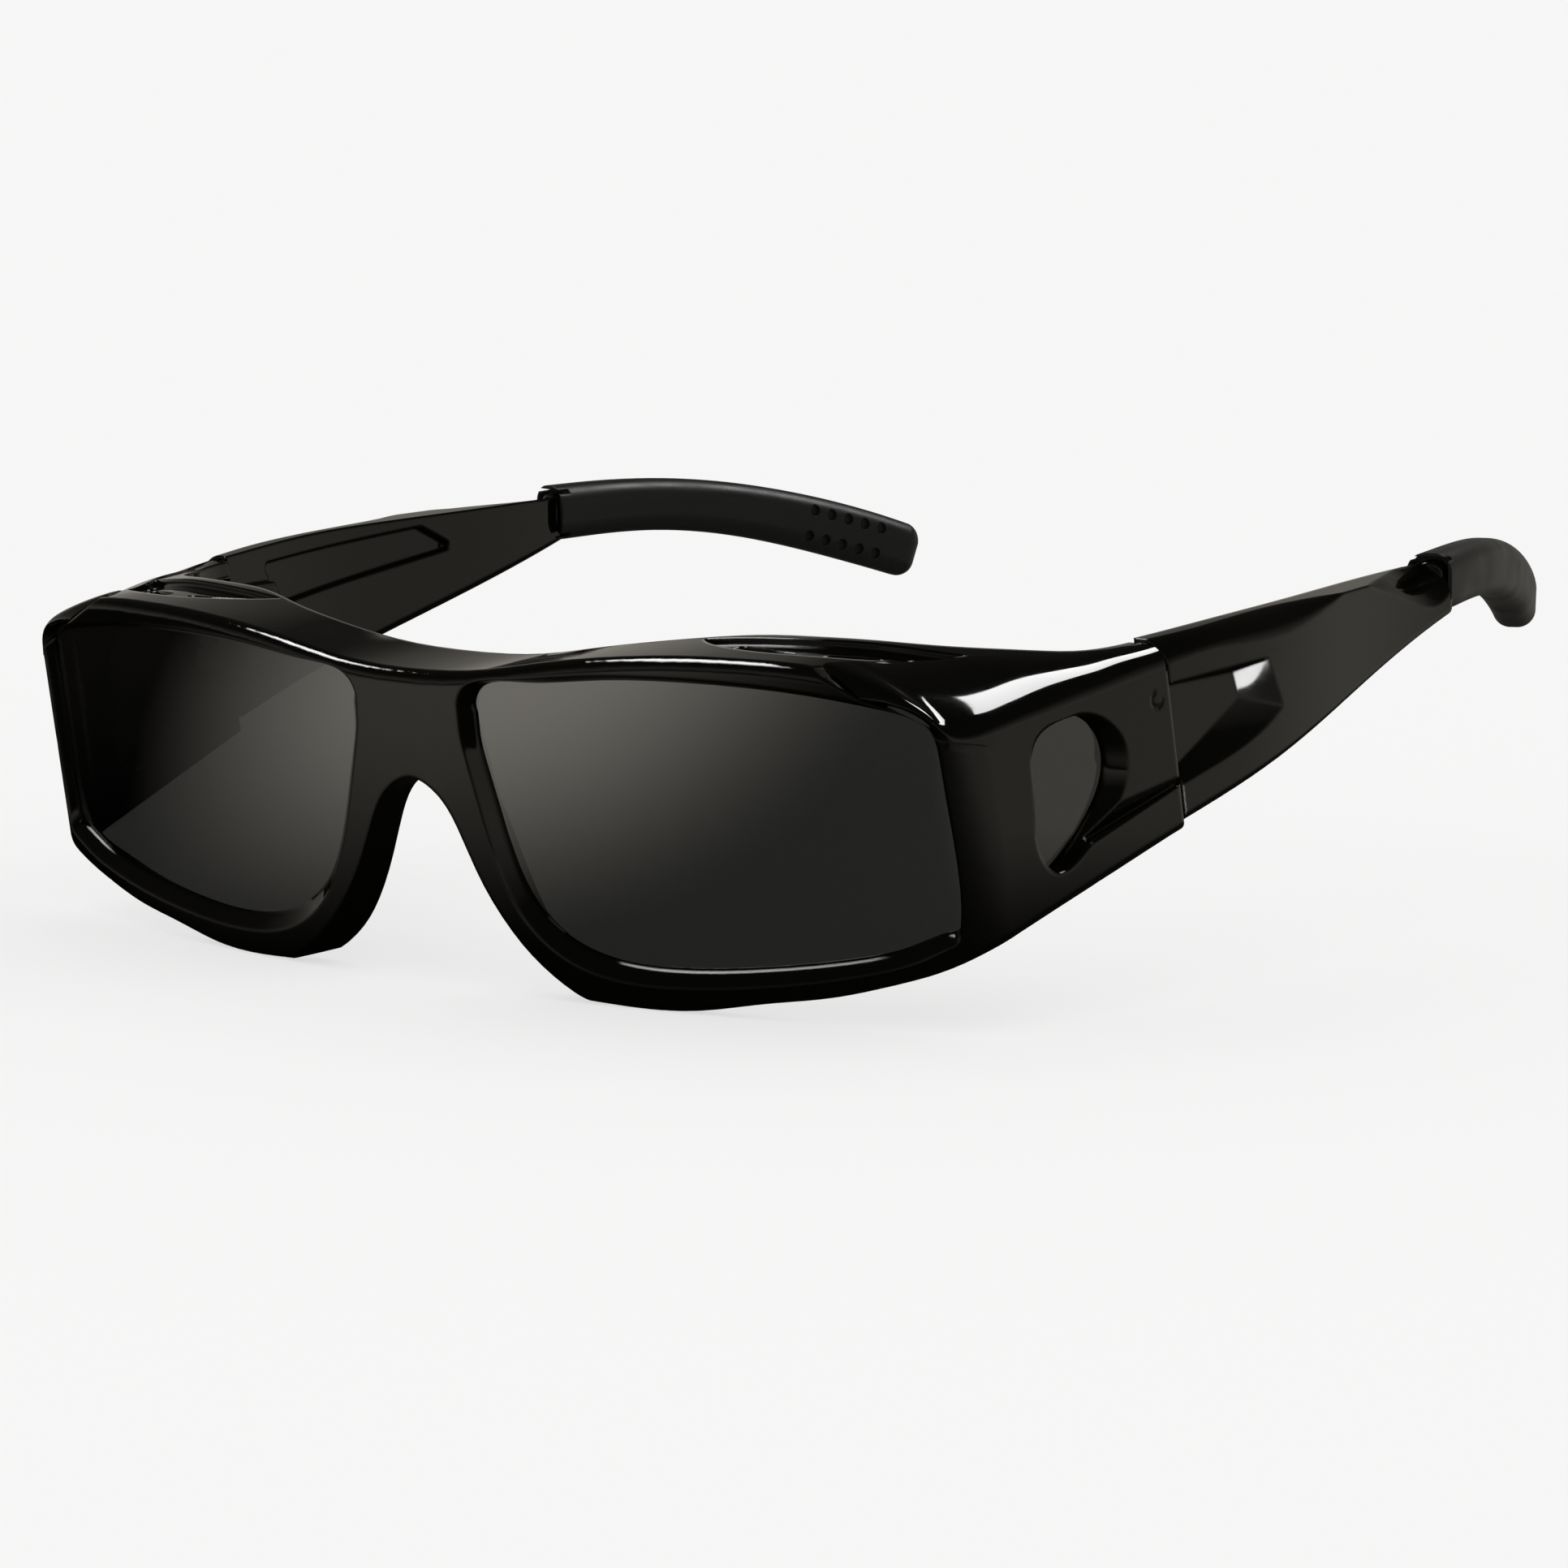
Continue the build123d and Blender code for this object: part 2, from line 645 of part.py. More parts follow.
def temple_top():
    """Upper edge of the temple, seen from the side."""
    front = seam_depth - overrun
    points = [Vector(0, front, temple_top_height - brow_slope * overrun)]
    for share_y, share_z in temple_top_shares:
        depth = blend(seam_depth, temple_end_depth, share_y)
        points.append(Vector(0, depth, temple_top_height + share_z * temple_top_rise))
    return Spline(points)


def temple_outline():
    """Side view of the temple's bar, deep at the seam and slim at the sleeve."""
    upper = temple_top()
    end_low = upper @ 1 - Vector(0, 0, temple_end_height)
    low_y = seam_y(temple_bottom_height)
    slope = (end_low.Z - temple_bottom_height) / (temple_end_depth - low_y)
    start_low = Vector(0, (upper @ 0).Y, temple_bottom_height - (low_y - (upper @ 0).Y) * slope)
    lower = ThreePointArc(start_low, (start_low + end_low) * 0.5 - Vector(0, 0, temple_bottom_sag), end_low)
    return make_face([upper, Line(upper @ 1, end_low), lower, Line(start_low, upper @ 0)])


def at_depth(curve, depth):
    """Point of a curve that runs back, at a depth, or its nearer end."""
    low, high = 0, 1
    for halving in range(search_steps):
        middle = (low + high) / 2
        if (curve @ middle).Y < depth:
            low = middle
        else:
            high = middle
    return curve @ low


def crown_cut():
    """What lies outside the round on the temple's upper outer edge."""
    outside, upper = Spline([Vector(x, y, 0) for x, y in temple_sides()[0]]), temple_top()
    sections = []
    for share, height, width in temple_crown:
        depth = blend(seam_depth, temple_end_depth, share)
        x, z = at_depth(outside, depth).X, at_depth(upper, depth).Z
        middle = Vector(x - width * crown_bow_share, depth, z - height * crown_bow_share)
        arc = ThreePointArc(Vector(x, depth, z - height), middle, Vector(x - width, depth, z))
        far_x, far_z = x + overrun, z + overrun
        corners = [(x - width, depth, far_z), (far_x, depth, far_z), (far_x, depth, z - height)]
        sections.append(make_face([arc, Polyline([arc @ 1] + corners + [arc @ 0])]))
    return loft(sections)


def panel_recess():
    """Sculpted recess in the temple's outer face, open at the seam."""
    floor = [temple_place(share_y, share_z) for share_y, share_z in panel_floor_shares]
    rim = [temple_place(share_y, share_z) for share_y, share_z in panel_rim_shares]
    floor_x = seam_half_width - panel_depth
    rim_x = seam_half_width + temple_bulge
    growth = (rim_x - floor_x) / panel_depth
    turn = math.degrees(math.atan2(temple_bulge, temple_bulge_share * (temple_end_depth - seam_depth)))
    hinge_line = Axis((seam_half_width, seam_depth, 0), (0, 0, 1))
    spread = [
        (blend(low[0], high[0], growth), blend(low[1], high[1], growth)) for low, high in zip(floor, rim)
    ]
    sections = []
    for x, outline in ((floor_x, floor), (rim_x, spread)):
        sections.append(make_face(Polyline([Vector(x, y, z) for y, z in outline], close=True)))
    return loft(sections, ruled=True).rotate(hinge_line, -turn)


def inner_pocket():
    """Shallow tapering pocket in the inner face of the left temple."""
    inner = temple_sides()[1]
    deep = [(x + pocket_depth, y) for x, y in inner]
    clear = [(x - overrun, y) for x, y in inner]
    layer = extrude(plan_between(deep, clear), amount=top_level + 2 * overrun)
    corners = [temple_place(share_y, share_z) for share_y, share_z in pocket_shares]
    outline = Plane.YZ * Polygon(*corners, align=None)
    outline = fillet(outline.vertices(), pocket_corner_radius)
    return layer & extrude(outline, amount=seam_half_width + 2 * overrun, dir=(1, 0, 0))


def path_planes():
    """Planes square to the tip sleeve's path at its stations, with local X across and local Y up."""
    planes = []
    for index, point in enumerate(sleeve_path):
        before = Vector(sleeve_path[max(index - 1, 0)])
        after = Vector(sleeve_path[min(index + 1, len(sleeve_path) - 1)])
        along = (after - before).normalized()
        across = Vector(along.Y, -along.X, 0).normalized()
        planes.append(Plane(origin=Vector(point), x_dir=across, z_dir=along))
    return planes


def sleeve_body(inset=0, stations=None):
    """Body along the tip's path, with rounded sections drawn in by inset."""
    sections = []
    for plane, (width_share, height_share) in list(zip(path_planes(), sleeve_size_shares))[:stations]:
        width = sleeve_width * width_share - 2 * inset
        height = sleeve_height * height_share - 2 * inset
        sections.append(plane * RectangleRounded(width, height, width * sleeve_round_share))
    return loft(sections)


def tang():
    """Core of the temple inside the tip sleeve."""
    return sleeve_body(tang_inset, tang_stations)


def temple():
    """Left temple: curved tapering bar with a sculpted recess, a hinge pad and a tang."""
    reach = seam_half_width + 2 * overrun
    bar = extrude(Pos(0, 0, bottom_level) * plan_between(*temple_sides()), amount=top_level + 2 * overrun)
    bar &= extrude(temple_outline(), amount=reach, dir=(1, 0, 0))
    bar -= crown_cut()
    long_edges = bar.edges().filter_by(lambda edge: edge.length > temple_end_depth - seam_depth)
    low_edges = long_edges.filter_by(lambda edge: (edge @ 0.5).Z < hinge_height)
    bar = fillet(low_edges, temple_edge_radius)
    bar &= behind_seam(seam_gap)
    pad = Pos(boss_inner_x, seam_depth, hinge_height) * Box(
        temple_thickness / 2, boss_length, boss_height, align=(Align.MIN, Align.MIN, Align.CENTER)
    )
    bar += pad & behind_seam(seam_gap)
    bar = bar - panel_recess() - inner_pocket()
    bar += tang()
    for bore in leaf_screw_bores(1, leaf_screw_radius + leaf_screw_clearance):
        bar -= bore
    return bar


def tip_sleeve():
    """Left rubber tip: a bent sleeve over the tang, with grip dimples near its end."""
    body = sleeve_body()
    end_face = body.faces().sort_by(Axis.Y)[-1]
    body = fillet(end_face.edges(), sleeve_end_radius)
    body -= sleeve_body(tang_inset - sleeve_clearance, tang_stations)
    mouth_plane = path_planes()[0]
    mouth = RectangleRounded(sleeve_width - 2 * sleeve_lip, sleeve_height - 2 * sleeve_lip, sleeve_lip)
    body -= extrude(mouth_plane * mouth, amount=sleeve_mouth_depth)
    near, far = path_planes()[-2], path_planes()[-1]
    start = near.origin - near.z_dir * (dimple_pitch * (dimple_count - 1) / 2)
    for index in range(dimple_count):
        for side in (-0.5, 0.5):
            centre = start + near.z_dir * (index * dimple_pitch) + near.y_dir * (side * dimple_row_gap)
            place = Plane(origin=centre, x_dir=near.z_dir, z_dir=near.x_dir)
            hole = Cylinder(dimple_radius, overrun, align=(Align.CENTER, Align.CENTER, Align.MAX))
            body -= place * Pos(0, 0, -(sleeve_width / 2 - dimple_depth)) * hole
    return body


def knuckle(low, high, radius):
    """Round of the hinge barrel between two heights."""
    return Pos(hinge_x, seam_depth, low) * Cylinder(
        radius, high - low, align=(Align.CENTER, Align.CENTER, Align.MIN)
    )


def knuckle_span(index):
    """Lower and upper height of one hinge knuckle, from the bottom."""
    pitch = (leaf_height + knuckle_gap) / knuckle_count
    low = hinge_height - leaf_height / 2 + index * pitch
    return low, low + pitch - knuckle_gap


def hinge_leaf(direction, owned):
    """Leaf with its knuckles: direction -1 lies on the front, 1 on the temple."""
    plate_end = seam_depth + direction * leaf_length
    plate_start = seam_depth + direction * (knuckle_radius + leaf_clearance)
    inner_side = (Align.MAX, Align.CENTER, Align.CENTER)
    plate = Box(leaf_thickness, abs(plate_end - plate_start), leaf_height, align=inner_side)
    plate = Pos(boss_inner_x, (plate_end + plate_start) / 2, hinge_height) * plate
    corners = plate.edges().filter_by(Axis.X)
    far = corners.sort_by(Axis.Y)[-2:] if direction > 0 else corners.sort_by(Axis.Y)[:2]
    plate = fillet(far, leaf_corner_radius)
    body = plate
    web_outer_x = hinge_x + knuckle_radius
    web_thickness = web_outer_x - (boss_inner_x - leaf_thickness)
    for index in owned:
        low, high = knuckle_span(index)
        on_low = (Align.MAX, Align.CENTER, Align.MIN)
        web = Box(web_thickness, abs(plate_start - seam_depth), high - low, align=on_low)
        web = Pos(web_outer_x, (seam_depth + plate_start) / 2, low) * web
        body += web + knuckle(low, high, knuckle_radius)
    low, high = hinge_height - leaf_height, hinge_height + leaf_height
    body -= knuckle(low, high, pin_radius + pin_clearance)
    for bore in leaf_screw_bores(direction, leaf_screw_radius + leaf_screw_clearance):
        body -= bore
    return body


def hinge_screw():
    """Screw through the knuckles, with a slotted head on the top knuckle."""
    top = hinge_height + leaf_height / 2
    shank = knuckle(hinge_height - leaf_height / 2, top + pin_clearance, pin_radius)
    head = knuckle(top + pin_clearance, top + pin_clearance + pin_head_thickness, pin_head_radius)
    slot = Pos(hinge_x, seam_depth, top + pin_clearance + pin_head_thickness) * Box(
        pin_slot_width, 4 * pin_head_radius, 2 * pin_slot_depth
    )
    return shank + head - slot


def leaf_screws(direction):
    """Two fixing screws of one leaf."""
    screws = []
    onward, back = (Align.CENTER, Align.CENTER, Align.MIN), (Align.CENTER, Align.CENTER, Align.MAX)
    for y, z in leaf_screw_places(direction):
        place = Pos(boss_inner_x - leaf_thickness, y, z) * Rot(0, 90, 0)
        shank = Cylinder(leaf_screw_radius, leaf_screw_length, align=onward)
        head = Cylinder(leaf_screw_head_radius, leaf_screw_head_thickness, align=back)
        slot = Box(pin_slot_width, 4 * leaf_screw_head_radius, pin_slot_depth)
        screws.append(place * (shank + head - Pos(0, 0, -leaf_screw_head_thickness) * slot))
    return Compound(children=screws)


def main():
    pieces = {"front_frame": front_frame()}
    left = {
        "lens": lens(), "side_lens": side_lens(), "temple": temple(), "tip_sleeve": tip_sleeve(),
        "hinge_front_leaf": hinge_leaf(-1, (0, 2)), "hinge_temple_leaf": hinge_leaf(1, (1,)),
        "hinge_screw": hinge_screw(),
        "front_leaf_screws": leaf_screws(-1), "temple_leaf_screws": leaf_screws(1),
    }
    for name, piece in left.items():
        pieces[name + "_left"] = piece
        pieces[name + "_right"] = mirrored(piece)
    boxes = [piece.bounding_box() for piece in pieces.values()]
    low = min(box.min.Z for box in boxes)
    front, rear = min(box.min.Y for box in boxes), max(box.max.Y for box in boxes)
    place = Pos(0, -(front + rear) / 2, -low)
    print("moved back by", place.position)
    print("hinge axis", place * Pos(hinge_x, seam_depth, hinge_height))
    os.makedirs("parts", exist_ok=True)
    for name, piece in pieces.items():
        print(name, len(piece.solids()), round(piece.volume, 1), piece.is_valid)
        export_step(place * piece, f"parts/{name}.step")


main()
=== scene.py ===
"""Looks of the fitover sunglasses: polished black mouldings, smoke lenses and satin rubber tips."""

import json
import math

import bpy
from mathutils import Matrix, Vector


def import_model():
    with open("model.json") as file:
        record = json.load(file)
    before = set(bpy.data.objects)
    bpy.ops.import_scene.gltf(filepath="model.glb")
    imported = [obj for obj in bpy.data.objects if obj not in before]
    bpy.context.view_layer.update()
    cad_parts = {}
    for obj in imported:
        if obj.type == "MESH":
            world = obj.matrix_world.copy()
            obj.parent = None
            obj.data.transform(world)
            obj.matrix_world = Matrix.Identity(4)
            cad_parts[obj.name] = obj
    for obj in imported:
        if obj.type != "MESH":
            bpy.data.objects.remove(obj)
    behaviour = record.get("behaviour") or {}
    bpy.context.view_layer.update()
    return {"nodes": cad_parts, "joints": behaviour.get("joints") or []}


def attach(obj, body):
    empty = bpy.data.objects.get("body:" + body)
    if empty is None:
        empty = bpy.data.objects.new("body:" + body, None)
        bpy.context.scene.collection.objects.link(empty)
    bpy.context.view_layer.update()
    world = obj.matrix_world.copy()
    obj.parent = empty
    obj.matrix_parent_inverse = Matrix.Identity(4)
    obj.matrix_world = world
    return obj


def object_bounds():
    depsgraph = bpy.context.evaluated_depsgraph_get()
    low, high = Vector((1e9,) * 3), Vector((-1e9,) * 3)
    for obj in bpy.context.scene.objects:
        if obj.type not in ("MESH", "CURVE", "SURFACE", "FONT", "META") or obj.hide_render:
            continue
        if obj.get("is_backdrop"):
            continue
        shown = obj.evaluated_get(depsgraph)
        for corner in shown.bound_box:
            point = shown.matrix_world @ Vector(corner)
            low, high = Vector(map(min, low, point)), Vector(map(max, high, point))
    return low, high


MM = 0.001
SIDES = {"left": 1, "right": -1}  # of the wearer, with the sign of X there

# Left hinge's axis at mid height, in the mould's own millimetres
MOULD_HINGE = Vector((69.0, 46.6, 32.0))

# Camera, fitted to the photograph: its direction, and its place to the right of, above and back from a
# reference point in the middle of the brow
VIEW_AZIMUTH = math.radians(38.166)
VIEW_ELEVATION = math.radians(8.208)
VIEW_RIGHT = 43.633 * MM
VIEW_UP = -12.577 * MM
VIEW_DISTANCE = 698.463 * MM
REFERENCE_FROM_HINGE = Vector((-69.0, -46.6, 4.8)) * MM
CLIP_NEAR, CLIP_FAR = 0.01, 200.0
LENS_LENGTH, SENSOR_WIDTH = 139.75, 36.0  # in millimetres

# Plastics, rubber and steel
GLOSS_COLOUR = (0.0012, 0.0012, 0.0008, 1)
RUBBER_COLOUR = (0.009, 0.009, 0.008, 1)
STEEL_COLOUR = (0.52, 0.51, 0.49, 1)
POLYMER_IOR, RUBBER_IOR = 1.5, 1.36

# Relief of each finish: wavelength and detail of its noise, depth, strength
GLOSS_FLOW = (9 * MM, 1.0, 0.02 * MM, 0.25)
RUBBER_GRAIN = (0.25 * MM, 4.0, 0.03 * MM, 0.35)
STEEL_BRUSHING = (0.12 * MM, 2.0, 0.01 * MM, 0.4)

# Radius that the shading softens edges to
GLOSS_EDGE, RUBBER_EDGE, STEEL_EDGE = 0.7 * MM, 0.3 * MM, 0.08 * MM
EDGE_SAMPLES = 8

# Roughness of each finish: wavelength and detail of its noise, least and most
GLOSS_MARKS = (3 * MM, 6.0, 0.035, 0.075)
LENS_HAZE = (6 * MM, 4.0, 0.012, 0.03)
RUBBER_WEAR = (5 * MM, 3.0, 0.36, 0.46)
STEEL_WEAR = (1.2 * MM, 4.0, 0.24, 0.38)
NOISE_LOW, NOISE_HIGH = 0.3, 0.7  # noise values that give the least and the most

# Lenses: share of the light that each face lets through, and share that the coat adds to what it mirrors
MAIN_LENS = (0.15, 0.155)
SIDE_LENS = (0.15, 0.02)
TINT_BLUE_SHARE = 0.96

# Floor, and its even glow for the camera, which makes it as pale as the backdrop and leaves a soft shadow
FLOOR_SIZE = 60.0
FLOOR_COLOUR = (0.86, 0.86, 0.855, 1)
GLOW_COLOUR = (1, 1, 0.997, 1)
GLOW_STRENGTH, GLOW_SHARE = 0.99, 0.65

# Surroundings: what lights matt faces, what the camera sees, and the tone of what gloss sees
AMBIENT_COLOUR = (0.93, 0.93, 0.93, 1)
BACKDROP_COLOUR = (0.90, 0.90, 0.90, 1)
WARM = (1.0, 0.945, 0.84)

# What gloss sees of the surroundings: height in the sky, where 1 is straight up, and brightness there
SKY_STOPS = ((0.0, 0.42), (0.10, 0.30), (0.26, 0.14), (0.42, 0.03), (1.0, 0.012))

# Painted reflection of the floor in gloss: painted shade up to the first distance from the middle, ground
# from the second on
SHADE_REACH = (0.105, 0.20)
SHADE_LEVEL, GROUND_LEVEL = 0.02, 0.34

# Painted shade in the reflection: share of that brightness ahead and to the wearer's right, which grows to 1
# over the reach along a direction
AHEAD_SHARE = 0.03
BACK_DIRECTION, BACK_REACH = (0.5, 1.0, 0.0), (-0.10, 0.05)

# Painted pool of light ahead of the object, which gloss sees on the floor as a painted reflection: place,
# distances where it fades, brightness
POOL_PLACE, POOL_REACH, POOL_LEVEL = (-0.060, -0.192), (0.02, 0.125), 0.62

# Softboxes: direction from the object, distance, width, height, radiance
BACK_STRIP = ((0.17, 0.57, 0.80), 1.1, 0.34, 0.36, 13.0)
OVERHEAD = ((-0.47, -0.22, 0.85), 1.2, 0.50, 0.34, 18.0)

# Small light for the glint in the near temple's panel: its place and aim, and its width, height and radiance
GLINT_FROM_HINGE = Vector((75.9, 38.6, -25.4)) * MM
GLINT_AIM_FROM_HINGE = Vector((5.9, 15.4, 3.6)) * MM
GLINT_FACE = (0.009, 0.016, 17.0)

# Stations of the rounded shoulder from the seam to the front, in the mould's millimetres: foot on the wall,
# crease where the round starts, end of the round on the brow, and how far the round holds the wall's and
# the brow's direction
SHOULDER_STATIONS = (
    ((74.86, 45.35, 37.6), (74.84, 45.20, 38.4), (72.3, 44.85, 41.56), 2.4, 1.0),
    ((74.78, 44.4, 37.6), (74.78, 44.4, 38.3), (72.1, 44.0, 41.50), 2.4, 1.0),
    ((74.30, 40.0, 36.9), (74.30, 40.0, 37.6), (70.9, 40.0, 41.25), 2.8, 1.2),
    ((73.86, 36.0, 36.2), (73.86, 36.0, 37.0), (69.0, 36.0, 41.15), 3.0, 1.6),
    ((73.42, 32.0, 35.5), (73.42, 32.0, 36.4), (67.3, 32.0, 41.20), 3.1, 2.0),
    ((72.98, 28.0, 34.8), (72.98, 28.0, 35.8), (65.3, 28.0, 41.30), 3.2, 2.4),
    ((72.54, 24.0, 34.1), (72.54, 24.0, 35.2), (63.0, 24.0, 41.36), 3.2, 2.8),
    ((72.10, 20.0, 33.1), (72.10, 20.0, 34.6), (61.0, 20.0, 41.18), 3.2, 3.0),
    ((71.64, 16.0, 32.4), (71.62, 16.0, 34.0), (59.0, 16.0, 41.18), 3.0, 3.0),
    ((71.00, 13.6, 32.3), (70.97, 13.5, 33.7), (57.8, 13.6, 41.30), 2.7, 3.0),
    ((70.07, 11.99, 32.5), (70.04, 11.85, 33.8), (57.0, 12.0, 41.50), 2.4, 2.8),
    ((69.19, 11.00, 33.0), (69.16, 10.8, 34.6), (56.4, 10.9, 41.56), 2.1, 2.6),
    ((68.20, 10.75, 34.4), (68.17, 10.0, 35.7), (56.0, 10.0, 41.60), 1.8, 2.4),
    ((66.60, 10.90, 35.6), (66.60, 9.2, 36.8), (55.6, 9.0, 41.60), 1.4, 2.0),
    ((65.00, 10.40, 36.5), (65.00, 8.5, 37.4), (55.1, 8.0, 41.58), 1.1, 1.8),
    ((63.00, 9.55, 37.2), (63.00, 7.8, 37.9), (55.3, 7.4, 41.30), 0.8, 1.5),
    ((60.50, 7.10, 37.6), (60.50, 6.98, 38.1), (56.2, 7.0, 40.60), 0.3, 1.0),
)
SHOULDER_THICKNESS = 0.9 * MM
BROW_FALL = 0.2  # of the brow's top face towards the side
ALONG_STRIPS, WALL_STRIPS, ROUND_STRIPS = 4, 4, 16  # between stations, up the wall and over the round
SHARP_ANGLE = math.radians(50)


def material(name):
    """New material without nodes, and its tree."""
    made = bpy.data.materials.new(name)
    made.use_nodes = True
    made.node_tree.nodes.clear()
    return made, made.node_tree


def node(tree, kind, inputs=(), **settings):
    """Adds a node, sets its properties and its input values."""
    made = tree.nodes.new(kind)
    for key, value in settings.items():
        setattr(made, key, value)
    for key, value in dict(inputs).items():
        if isinstance(value, bpy.types.NodeSocket):
            tree.links.new(value, made.inputs[key])
        else:
            made.inputs[key].default_value = value
    return made


def combine(tree, operation, first, second):
    """Result of one arithmetic operation on two values."""
    return node(tree, "ShaderNodeMath", {0: first, 1: second}, operation=operation).outputs[0]


def mix(tree, kind, share, first, second):
    """Output of a mixing node that shows the second input by the given share, and the first by the rest."""
    return node(tree, kind, {0: share, 1: first, 2: second}).outputs[0]


def noise(tree, wavelength, detail):
    """Noise over the object's own coordinates with the given wavelength in metres."""
    where = node(tree, "ShaderNodeTexCoord").outputs["Object"]
    inputs = {"Vector": where, "Scale": 1 / wavelength, "Detail": detail}
    return node(tree, "ShaderNodeTexNoise", inputs).outputs["Fac"]


def roughness(tree, wavelength, detail, least, most):
    """Uneven roughness that follows a noise."""
    source = noise(tree, wavelength, detail)
    inputs = {"Value": source, "From Min": NOISE_LOW, "From Max": NOISE_HIGH, "To Min": least, "To Max": most}
    return node(tree, "ShaderNodeMapRange", inputs).outputs["Result"]


def relief(tree, wavelength, detail, depth, strength, edge_radius):
    """Normal of a fine relief of the given depth, over edges softened to edge_radius."""
    inputs = {"Height": noise(tree, wavelength, detail), "Distance": depth, "Strength": strength}
    if edge_radius:
        softened = node(tree, "ShaderNodeBevel", {"Radius": edge_radius}, samples=EDGE_SAMPLES)
        inputs["Normal"] = softened.outputs["Normal"]
    return node(tree, "ShaderNodeBump", inputs).outputs["Normal"]


def opaque(name, colour, flow, edge_radius, wear, more):
    """Opaque material with a relief, softened edges, uneven roughness and the further inputs in more."""
    made, tree = material(name)
    normal = relief(tree, *flow, edge_radius)
    inputs = {"Base Color": colour, "Roughness": roughness(tree, *wear), "Normal": normal, **more}
    body = node(tree, "ShaderNodeBsdfPrincipled", inputs)
    node(tree, "ShaderNodeOutputMaterial", {"Surface": body.outputs[0]})
    return made


def polished_black(name, edge_radius):
    """Injection-moulded gloss plastic: near black, with a faint flow relief and fine handling marks."""
    return opaque(name, GLOSS_COLOUR, GLOSS_FLOW, edge_radius, GLOSS_MARKS, {"IOR": POLYMER_IOR})


def satin_rubber():
    """Soft black rubber with a fine grain."""
    return opaque("satin_rubber", RUBBER_COLOUR, RUBBER_GRAIN, RUBBER_EDGE, RUBBER_WEAR, {"IOR": RUBBER_IOR})


def plain_steel():
    """Stamped stainless steel with a light brushed finish."""
    return opaque("plain_steel", STEEL_COLOUR, STEEL_BRUSHING, STEEL_EDGE, STEEL_WEAR, {"Metallic": 1.0})


def smoke_lens(name, clear, mirror_share):
    """Dark tinted sheet with a faint mirror coat, which works where a face is met from outside the sheet."""
    made, tree = material(name)
    reverse = node(tree, "ShaderNodeNewGeometry").outputs["Backfacing"]
    fresnel = node(tree, "ShaderNodeFresnel", {"IOR": POLYMER_IOR}).outputs[0]
    coat = combine(tree, "ADD", fresnel, mirror_share)
    share = combine(tree, "MULTIPLY", coat, combine(tree, "SUBTRACT", 1.0, reverse))
    tint = (clear, clear, clear * TINT_BLUE_SHARE, 1)
    through = node(tree, "ShaderNodeBsdfTransparent", {"Color": tint}).outputs[0]
    haze = roughness(tree, *LENS_HAZE)
    mirror = node(tree, "ShaderNodeBsdfGlossy", {"Color": (1, 1, 1, 1), "Roughness": haze}).outputs[0]
    surface = mix(tree, "ShaderNodeMixShader", share, through, mirror)
    node(tree, "ShaderNodeOutputMaterial", {"Surface": surface})
    return made


def dress_nodes(nodes):
    """Gives every CAD node the look that goes with the longest start of its name."""
    black = polished_black("polished_black", GLOSS_EDGE)
    looks = {
        "front_frame": black,
        "temple": black,
        "lens": smoke_lens("smoke_lens", *MAIN_LENS),
        "side_lens": smoke_lens("smoke_side_lens", *SIDE_LENS),
        "tip_sleeve": satin_rubber(),
        "hinge": plain_steel(),
    }
    looks["front_leaf"] = looks["temple_leaf"] = looks["hinge"]
    for name, piece in nodes.items():
        start = max((start for start in looks if name.startswith(start)), key=len)
        piece.data.materials.clear()
        piece.data.materials.append(looks[start])


def add_object(name, data):
    """New object in the scene."""
    made = bpy.data.objects.new(name, data)
    bpy.context.scene.collection.objects.link(made)
    return made


def curve_through(values, count):
    """Places or numbers on a smooth curve through the given ones, count strips between neighbours."""
    spread = []
    last = len(values) - 1
    for index in range(last):
        before, start = values[max(index - 1, 0)], values[index]
        end, after = values[index + 1], values[min(index + 2, last)]
        slope = end - before
        bend = 2 * before - 5 * start + 4 * end - after
        twist = 3 * start - before - 3 * end + after
        for step in range(count):
            t = step / count
            spread.append(start + (slope * t + bend * t ** 2 + twist * t ** 3) / 2)
    return spread + [values[last]]


def shoulder_section(foot, crease, top, rise, run):
    """Points up the wall from its foot and over the round to the brow."""
    inward = Vector((top.x - crease.x, top.y - crease.y, 0)).normalized() + Vector((0, 0, BROW_FALL))
    holds = crease, crease + Vector((0, 0, rise)), top - inward * run, top
    points = [foot.lerp(crease, step / WALL_STRIPS) for step in range(WALL_STRIPS)]
    for step in range(ROUND_STRIPS + 1):
        t = step / ROUND_STRIPS
        shares = (1 - t) ** 3, 3 * t * (1 - t) ** 2, 3 * t ** 2 * (1 - t), t ** 3
        points.append(sum((hold * share for hold, share in zip(holds, shares)), Vector()))
    return points


def shoulder_sections():
    """Sections of the left shoulder from the seam to the front, in the mould's millimetres."""
    feet, creases, tops, rises, runs = zip(*SHOULDER_STATIONS)
    places = [[Vector(place) for place in column] for column in (feet, creases, tops)]
    columns = [curve_through(column, ALONG_STRIPS) for column in (*places, rises, runs)]
    return [shoulder_section(*values) for values in zip(*columns)]


def grid_faces(rows, columns):
    """Quads between the points of a grid that are listed row by row."""
    faces = []
    for row in range(rows - 1):
        for column in range(columns - 1):
            corner = row * columns + column
            faces.append((corner, corner + 1, corner + columns + 1, corner + columns))
    return faces


